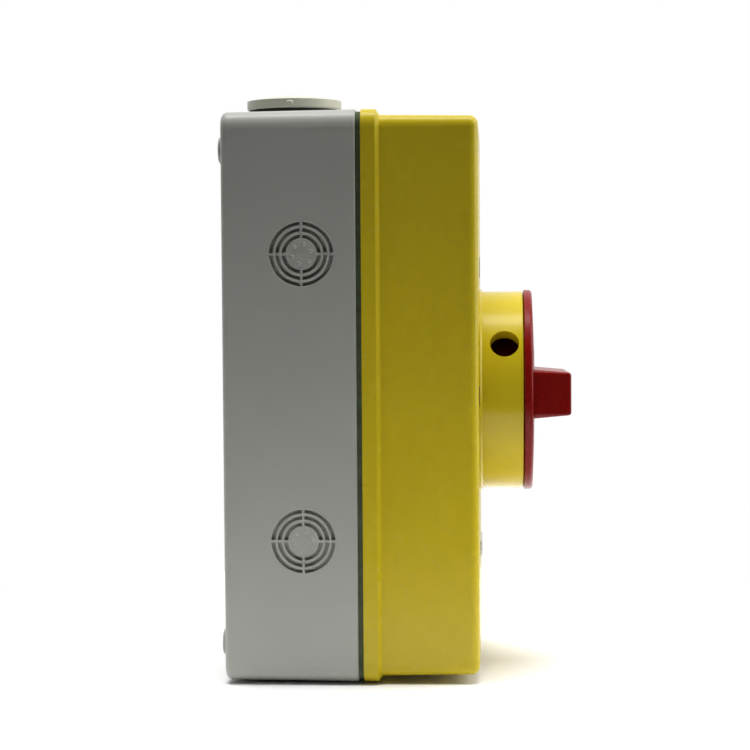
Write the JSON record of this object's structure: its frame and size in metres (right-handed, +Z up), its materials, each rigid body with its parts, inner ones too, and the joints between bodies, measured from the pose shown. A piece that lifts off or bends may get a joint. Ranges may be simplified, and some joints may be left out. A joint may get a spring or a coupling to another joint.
{
  "type": "rotary isolator switch",
  "caption": "Wall-mounted enclosed isolator: tall grey box, yellow cover with a padlock collar, and a red rotary handle that turns a multi-pole switch.",
  "frame": {"origin": "centre of the four wall screws, on the wall plane that the round feet touch", "axes": "+X to the right as seen from the front, +Z up, the front and its handle face -Y"},
  "size_m": [0.0942, 0.1132, 0.1922],
  "materials": {
    "grey_housing": "fine textured grey moulding",
    "yellow_cover": "signal yellow moulding, semi-gloss",
    "gasket_rubber": "dark foam rubber",
    "seal_rubber": "black rubber",
    "plug_plastic": "light grey moulding",
    "yellow_plastic": "signal yellow, semi-gloss",
    "red_plastic": "signal red, semi-gloss",
    "white_plastic": "white inlay",
    "print_ink": "raised black marks",
    "badge_plastic": "domed blank badge",
    "brass": "machined",
    "stainless_steel": "machined",
    "zinc_steel": "zinc plated",
    "rail_steel": "zinc plated sheet",
    "plate_steel": "zinc plated sheet",
    "spring_steel": "hard drawn",
    "shaft_steel": "drawn square bar",
    "copper": "silver faced copper",
    "black_plastic": "glass filled moulding",
    "latch_plastic": "orange-red moulding",
    "deck_plastic": "glass filled moulding",
    "cam_plastic": "natural moulding"
  },
  "bodies": {
    "enclosure": {"enclosure_base": "grey_housing", "cover_gasket": "gasket_rubber", "threaded_inserts": "brass", "blanking_plug": "plug_plastic", "plug_washer": "seal_rubber", "din_rail": "rail_steel", "rail_screws": "zinc_steel", "rail_foot": "black_plastic", "terminal_screws": "zinc_steel", "clamp_plates": "rail_steel", "mechanism_housing": "deck_plastic", "mechanism_lid": "deck_plastic", "detent_springs": "spring_steel", "stack_bolts": "zinc_steel", "earth_bar": "brass", "earth_screws": "zinc_steel", "pole_deck_1": "deck_plastic", "pole_deck_2": "deck_plastic", "pole_deck_3": "deck_plastic", "pole_deck_4": "deck_plastic", "fixed_contacts_1": "copper", "fixed_contacts_2": "copper", "fixed_contacts_3": "copper", "fixed_contacts_4": "copper"},
    "cover": {"front_cover": "yellow_cover", "cover_screws": "stainless_steel", "screw_seals": "seal_rubber", "name_badge": "badge_plastic", "position_marks": "print_ink", "padlock_collar": "yellow_plastic", "collar_screws": "zinc_steel", "interlock_plate": "plate_steel", "interlock_screws": "zinc_steel"},
    "knob": {"rotary_knob": "red_plastic", "knob_pointer": "white_plastic", "hub_o_ring": "seal_rubber", "retaining_clip": "spring_steel", "hub_washer": "spring_steel"},
    "rotor": {"drive_shaft": "shaft_steel", "shaft_clip": "spring_steel", "interlock_wings": "plate_steel", "wing_pin": "spring_steel", "detent_cam": "cam_plastic", "contact_rotor_1": "cam_plastic", "contact_rotor_2": "cam_plastic", "contact_rotor_3": "cam_plastic", "contact_rotor_4": "cam_plastic", "contact_blade_1": "copper", "contact_blade_2": "copper", "contact_blade_3": "copper", "contact_blade_4": "copper"},
    "latch": {"rail_latch": "latch_plastic"}
  },
  "joints": [
    {"name": "knob_turn", "type": "hinge", "parent": "cover", "child": "knob", "pos_m": [0, -0.098, 0], "axis": [0, 1, 0], "range_deg": [0, 90]},
    {"name": "shaft_turn", "type": "hinge", "parent": "enclosure", "child": "rotor", "pos_m": [0, -0.05, 0], "axis": [0, 1, 0], "range_deg": [0, 90], "deforming": ["detent_springs"]},
    {"name": "cover_lift", "type": "slide", "parent": "enclosure", "child": "cover", "axis": [0, -1, 0], "range_m": [0, 0.07]},
    {"name": "latch_slide", "type": "slide", "parent": "enclosure", "child": "latch", "axis": [0, 0, -1], "range_m": [0, 0.003]}
  ],
  "couplings": [
    {"joint": "shaft_turn", "follows": "knob_turn", "ratio": 1}
  ]
}
